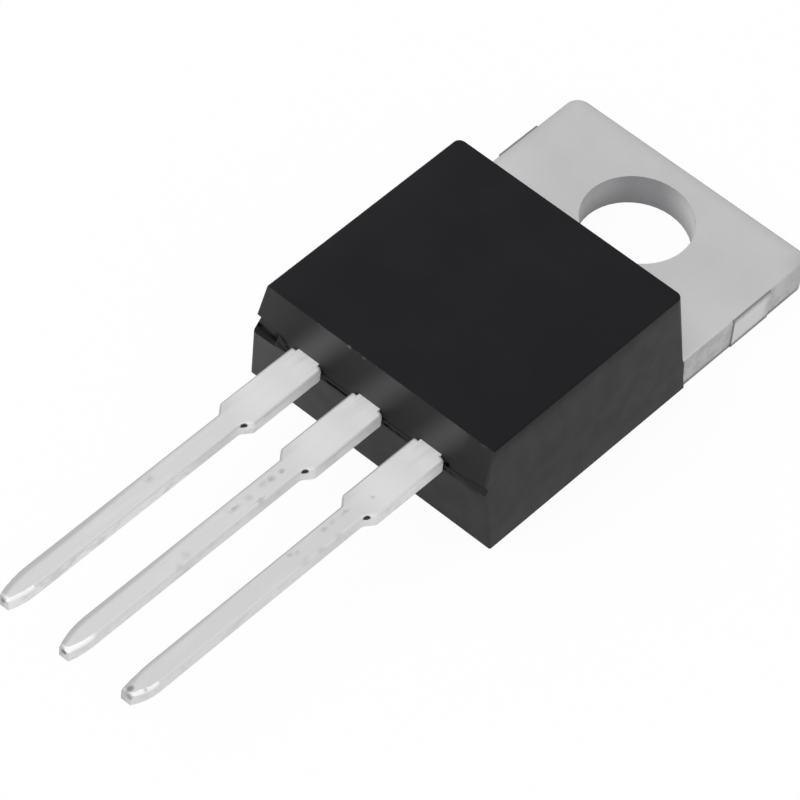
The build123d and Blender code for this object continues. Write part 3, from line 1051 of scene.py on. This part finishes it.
    def _left_edge(self, r: Recipe, local: Socket, narrow: Socket) -> Socket:
        """The painted shade along each lead's left edge, a darker band which bends in round the
        nose.

        Args:
            r: The tree.
            local: The lead's own coordinates.
            narrow: Where the lead is past its shoulders.

        Returns:
            Its strength at each point.
        """
        inset = r.squared_below(r.along, self.nose_starts, self.nose_curve)
        inset = r.sum(Sum.ADD, inset, r.step(r.along, self.inset_along))
        inset = r.sum(Sum.ADD, inset, r.step(r.across, self.inset_across))
        across, _, _ = r.parts(local)
        from_edge = r.sum(Sum.SUBTRACT, r.sum(Sum.ADD, across, self.narrow_half), inset)
        along = r.step(r.along, self.left_edge_along)
        band = r.product(r.step(from_edge, self.left_edge), along, narrow)
        return r.most(band, r.step(r.over, self.rolls_left))

    def _nose_highlight(self, r: Recipe, local: Socket) -> Socket:
        """The painted highlight, a bright crescent on the right of each nose.

        Args:
            r: The tree.
            local: The lead's own coordinates.

        Returns:
            Its strength at each point.
        """
        across, _, _ = r.parts(local)
        bend = r.squared_below(r.along, self.highlight_starts, self.highlight_curve)
        from_edge = r.sum(Sum.SUBTRACT, r.sum(Sum.SUBTRACT, self.narrow_half, across), bend)
        return r.product(
            r.step(from_edge, self.highlight_edge),
            r.step(r.along, self.highlight_along),
            r.step(r.up, self.highlight_up),
        )

    def _lead_place(self, r: Recipe, place: Socket) -> Socket:
        """Coordinates measured across from the nearest lead's own middle.

        Args:
            r: The tree.
            place: The coordinates in the part's frame.

        Returns:
            The lead's own coordinates.
        """
        across, along, out = r.parts(place)
        return r.join(r.from_lead(across), along, out)


@dataclass(frozen=True)
class SoftSolder:
    """The dull grey solder under the die, slightly frosted."""

    bright: Colour = (0.48, 0.48, 0.47)
    dull: Colour = (0.36, 0.36, 0.36)
    frost: Grain = Grain(6.0, detail=5.0, rough=0.65)
    frosted: Ramp = Ramp(0.35, 0.65)
    roughness: Ramp = Ramp(0.3, 0.7, low=0.35, high=0.55)
    relief_depth: float = 0.006
    relief_strength: float = 0.5

    def material(self) -> Material:
        """Builds the node tree.

        Returns:
            The material.
        """
        r = Recipe("dull_solder")
        frost = r.grain(self.frost)
        colour = r.blend(r.step(frost, self.frosted), self.bright, self.dull)
        facing = r.relief(frost, self.relief_depth, self.relief_strength)
        return r.surface(colour, r.step(frost, self.roughness), facing, metal=1.0)


@dataclass(frozen=True)
class PolishedSilicon:
    """The die: sawn sides, and a top of fine aluminium tracks under clear glass."""

    sawn: Colour = (0.11, 0.11, 0.12)
    field: Colour = (0.16, 0.19, 0.26)
    track: Colour = (0.52, 0.52, 0.50)
    cell: float = 0.11
    track_width: float = 0.06
    top: Ramp = Ramp(0.5, 0.9)
    saw: Grain = Grain(20.0, detail=3.0, stretch=(1.0, 1.0, 0.1))
    roughness: float = 0.25
    relief_depth: float = 0.001
    relief_strength: float = 0.3

    def material(self) -> Material:
        """Builds the node tree.

        Returns:
            The material.
        """
        r = Recipe("polished_silicon")
        node = r.tree.nodes.new("ShaderNodeTexBrick")
        r.tree.links.new(r.place, node.inputs["Vector"])
        node.inputs["Scale"].default_value = 1.0 / self.cell
        node.inputs["Mortar Size"].default_value = self.track_width
        node.inputs["Color1"].default_value = (*self.field, 1.0)
        node.inputs["Color2"].default_value = (*self.field, 1.0)
        node.inputs["Mortar"].default_value = (*self.track, 1.0)
        saw = r.grain(self.saw)
        side = r.blend(saw, self.sawn, self.field)
        colour = r.blend(r.step(r.up, self.top), side, node.outputs["Color"])
        facing = r.relief(saw, self.relief_depth, self.relief_strength)
        return r.surface(colour, self.roughness, facing)


@dataclass(frozen=True)
class DrawnAluminium:
    """Bright aluminium wire with faint die lines along it."""

    bright: Colour = (0.80, 0.80, 0.79)
    line: Colour = (0.66, 0.66, 0.66)
    lines: Grain = Grain(30.0, stretch=(1.0, 0.06, 0.2))
    lined: Ramp = Ramp(0.4, 0.7)
    roughness: float = 0.28
    relief_depth: float = 0.0008
    relief_strength: float = 0.4

    def material(self) -> Material:
        """Builds the node tree.

        Returns:
            The material.
        """
        r = Recipe("drawn_aluminium")
        lines = r.grain(self.lines)
        colour = r.blend(r.step(lines, self.lined), self.bright, self.line)
        facing = r.relief(lines, self.relief_depth, self.relief_strength)
        return r.surface(colour, self.roughness, facing, metal=1.0)


# ----- The part -----


def dress(piece: Piece, material: Material) -> None:
    """Puts one material on every slot of a piece."""
    for slot in piece.material_slots:
        slot.material = material


@dataclass
class MetalFrame:
    """The tab, header and centre lead in one, and the two side leads beside it."""

    nodes: dict[str, Piece]
    finish: PlatedCopper = field(default_factory=PlatedCopper)

    def build(self) -> list[Piece]:
        """Dresses the frame and the side leads.

        Returns:
            The pieces.
        """
        frame = self.nodes[Node.FRAME.value]
        leads = [self.nodes[Node.INPUT_LEAD.value], self.nodes[Node.OUTPUT_LEAD.value]]
        dress(frame, self.finish.material("plated_frame"))
        tin = self.finish.material("tinned_lead")
        for lead in leads:
            dress(lead, tin)
        return [frame, *leads]


@dataclass
class Moulding:
    """The epoxy block round the frame."""

    nodes: dict[str, Piece]
    finish: SatinEpoxy = field(default_factory=SatinEpoxy)

    def build(self) -> list[Piece]:
        """Dresses the block.

        Returns:
            The piece.
        """
        body = self.nodes[Node.BODY.value]
        dress(body, self.finish.material())
        return [body]


@dataclass
class DieAndWires:
    """The chip, its solder and its four bond wires, all inside the moulding."""

    nodes: dict[str, Piece]
    solder: SoftSolder = field(default_factory=SoftSolder)
    silicon: PolishedSilicon = field(default_factory=PolishedSilicon)
    wire: DrawnAluminium = field(default_factory=DrawnAluminium)

    def build(self) -> list[Piece]:
        """Dresses the chip, the solder and the wires.

        Returns:
            The pieces.
        """
        solder, die = self.nodes[Node.SOLDER.value], self.nodes[Node.DIE.value]
        dress(solder, self.solder.material())
        dress(die, self.silicon.material())
        aluminium = self.wire.material()
        names = (Node.INPUT_WIRE, Node.OUTPUT_WIRE, Node.SENSE_WIRE, Node.GROUND_WIRE)
        wires = [self.nodes[name.value] for name in names]
        for wire in wires:
            dress(wire, aluminium)
        return [solder, die, *wires]


# ----- Studio -----


def seen_directly(tree: bpy.types.NodeTree) -> Socket:
    """Whether a ray comes from the camera, or from a glossy or clear surface.

    Args:
        tree: The node tree that asks.

    Returns:
        1 for such a ray and 0 for the light itself.
    """
    path = tree.nodes.new("ShaderNodeLightPath")
    total = path.outputs["Is Camera Ray"]
    for kind in ("Is Glossy Ray", "Is Transmission Ray"):
        either = tree.nodes.new("ShaderNodeMath")
        either.operation = Sum.MAXIMUM.value
        tree.links.new(total, either.inputs[0])
        tree.links.new(path.outputs[kind], either.inputs[1])
        total = either.outputs[0]
    return total


@dataclass
class PaleFloor:
    """The white table that the part lies on. It can't be seen from below."""

    half_side: float = 1500.0
    squares: int = 8
    below: float = 0.01
    colour: Colour = (0.93, 0.93, 0.93)
    glow_share: float = 0.95

    def build(self) -> Piece:
        """Builds the table top.

        Returns:
            The floor.
        """
        mesh = bpy.data.meshes.new("floor")
        sheet = bmesh.new()
        bmesh.ops.create_grid(
            sheet, x_segments=self.squares, y_segments=self.squares, size=self.half_side * MM
        )
        bmesh.ops.translate(sheet, verts=sheet.verts, vec=(0.0, 0.0, -self.below * MM))
        sheet.to_mesh(mesh)
        sheet.free()
        floor = bpy.data.objects.new("floor", mesh)
        bpy.context.scene.collection.objects.link(floor)
        mesh.materials.append(self._material())
        floor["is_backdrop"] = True
        return floor

    def _material(self) -> Material:
        """White paper that takes the part's shadow, and shows white in the metal too.

        Returns:
            The material.
        """
        material = bpy.data.materials.new("white_table")
        material.use_nodes = True
        tree = material.node_tree
        tree.nodes.clear()
        new, link = tree.nodes.new, tree.links.new
        share = new("ShaderNodeMath")
        share.operation = Sum.MULTIPLY.value
        link(seen_directly(tree), share.inputs[0])
        share.inputs[1].default_value = self.glow_share
        paper = new("ShaderNodeBsdfDiffuse")
        paper.inputs["Color"].default_value = (*self.colour, 1.0)
        glow = new("ShaderNodeEmission")
        glow.inputs["Color"].default_value = WHITE
        glow.inputs["Strength"].default_value = 1.0
        top = new("ShaderNodeMixShader")
        link(share.outputs[0], top.inputs[0])
        link(paper.outputs[0], top.inputs[1])
        link(glow.outputs[0], top.inputs[2])
        clear = new("ShaderNodeBsdfTransparent")
        side = new("ShaderNodeNewGeometry")
        whole = new("ShaderNodeMixShader")
        link(side.outputs["Backfacing"], whole.inputs[0])
        link(top.outputs[0], whole.inputs[1])
        link(clear.outputs[0], whole.inputs[2])
        output = new("ShaderNodeOutputMaterial")
        link(whole.outputs[0], output.inputs["Surface"])
        return material


@dataclass(frozen=True)
class SoftBox:
    """A square lamp behind white cloth."""

    name: str
    azimuth: float
    elevation: float
    distance: float
    side: float
    watts: float

    def build(self, aim: Vector) -> Piece:
        """Hangs the lamp.

        Args:
            aim: The point that it shines at, in metres.

        Returns:
            The lamp.
        """
        data = bpy.data.lights.new(self.name, "AREA")
        data.shape = "SQUARE"
        data.size = self.side * MM
        data.energy = self.watts
        lamp = bpy.data.objects.new(self.name, data)
        bpy.context.scene.collection.objects.link(lamp)
        back = towards(self.azimuth, self.elevation)
        lamp.location = aim + back * self.distance * MM
        lamp.rotation_mode = "QUATERNION"
        lamp.rotation_quaternion = (-back).to_track_quat("-Z", "Y")
        return lamp


def towards(azimuth: float, elevation: float) -> Vector:
    """The way to something, in degrees round from in front of the leads and up from the table."""
    a, e = math.radians(azimuth), math.radians(elevation)
    return Vector((math.sin(a) * math.cos(e), -math.cos(a) * math.cos(e), math.sin(e)))


@dataclass
class Studio:
    """A white tent, two soft lamps and the table."""

    tent: float = 0.70
    floor: PaleFloor = field(default_factory=PaleFloor)
    lamps: tuple[SoftBox, ...] = (
        SoftBox("key_softbox", -30.0, 50.0, 420.0, 260.0, 0.60),
        SoftBox("front_softbox", 40.0, 42.0, 520.0, 160.0, 0.30),
    )

    def build(self, aim: Vector) -> None:
        """Lays the table and hangs the tent and lamps.

        Args:
            aim: The point that the lamps shine at, in metres.
        """
        self.floor.build()
        for lamp in self.lamps:
            lamp.build(aim)
        world = bpy.data.worlds.new("white_tent")
        bpy.context.scene.world = world
        world.use_nodes = True
        tree = world.node_tree
        tree.nodes.clear()
        new, link = tree.nodes.new, tree.links.new
        light = new("ShaderNodeBackground")
        light.inputs["Color"].default_value = WHITE
        light.inputs["Strength"].default_value = self.tent
        seen = new("ShaderNodeBackground")
        seen.inputs["Color"].default_value = WHITE
        seen.inputs["Strength"].default_value = 1.0
        mix = new("ShaderNodeMixShader")
        link(seen_directly(tree), mix.inputs[0])
        link(light.outputs[0], mix.inputs[1])
        link(seen.outputs[0], mix.inputs[2])
        output = new("ShaderNodeOutputWorld")
        link(mix.outputs[0], output.inputs["Surface"])


@dataclass(frozen=True)
class ViewCamera:
    """The camera, above the front right corner, a little rolled."""

    azimuth: float = 36.607
    elevation: float = 49.527
    roll: float = 6.91
    aim: Point = (0.0, -11.0, 2.0)
    slide_right: float = -0.3805
    slide_up: float = -0.3985
    distance: float = 173.448
    lens: float = 251.18
    sensor: float = 36.0
    nearest: float = 10.0
    furthest: float = 20000.0

    def build(self) -> Piece:
        """Sets up the camera and makes it the scene's own.

        Returns:
            The camera.
        """
        back = towards(self.azimuth, self.elevation)
        level_right = (-back).cross(Vector((0.0, 0.0, 1.0))).normalized()
        level_up = level_right.cross(-back)
        turn = math.radians(self.roll)
        right = level_right * math.cos(turn) + level_up * math.sin(turn)
        up = level_up * math.cos(turn) - level_right * math.sin(turn)
        slide = right * self.slide_right + up * self.slide_up
        place = Vector(self.aim) + back * self.distance + slide
        data = bpy.data.cameras.new("camera")
        data.sensor_width = self.sensor
        data.lens = self.lens
        data.clip_start, data.clip_end = self.nearest * MM, self.furthest * MM
        camera = bpy.data.objects.new("camera", data)
        bpy.context.scene.collection.objects.link(camera)
        turned = Matrix((right, up, back)).transposed().to_4x4()
        camera.matrix_world = Matrix.Translation(place * MM) @ turned
        bpy.context.scene.camera = camera
        return camera


def main() -> None:
    """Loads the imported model, dresses every piece and sets up the studio."""
    logging.basicConfig(level=logging.INFO, format="%(message)s")
    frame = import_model()
    cad_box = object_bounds()
    nodes = frame["nodes"]
    for assembly in (MetalFrame(nodes), Moulding(nodes), DieAndWires(nodes)):
        for piece in assembly.build():
            faces = len(piece.data.polygons)
            log.info("%s: %s, %d faces", type(assembly).__name__, piece.name, faces)
    low, high = cad_box
    Studio().build((low + high) / 2)
    ViewCamera().build()
    bpy.context.scene.view_settings.view_transform = "Standard"
    bpy.context.view_layer.update()


if __name__ == "__main__":
    main()
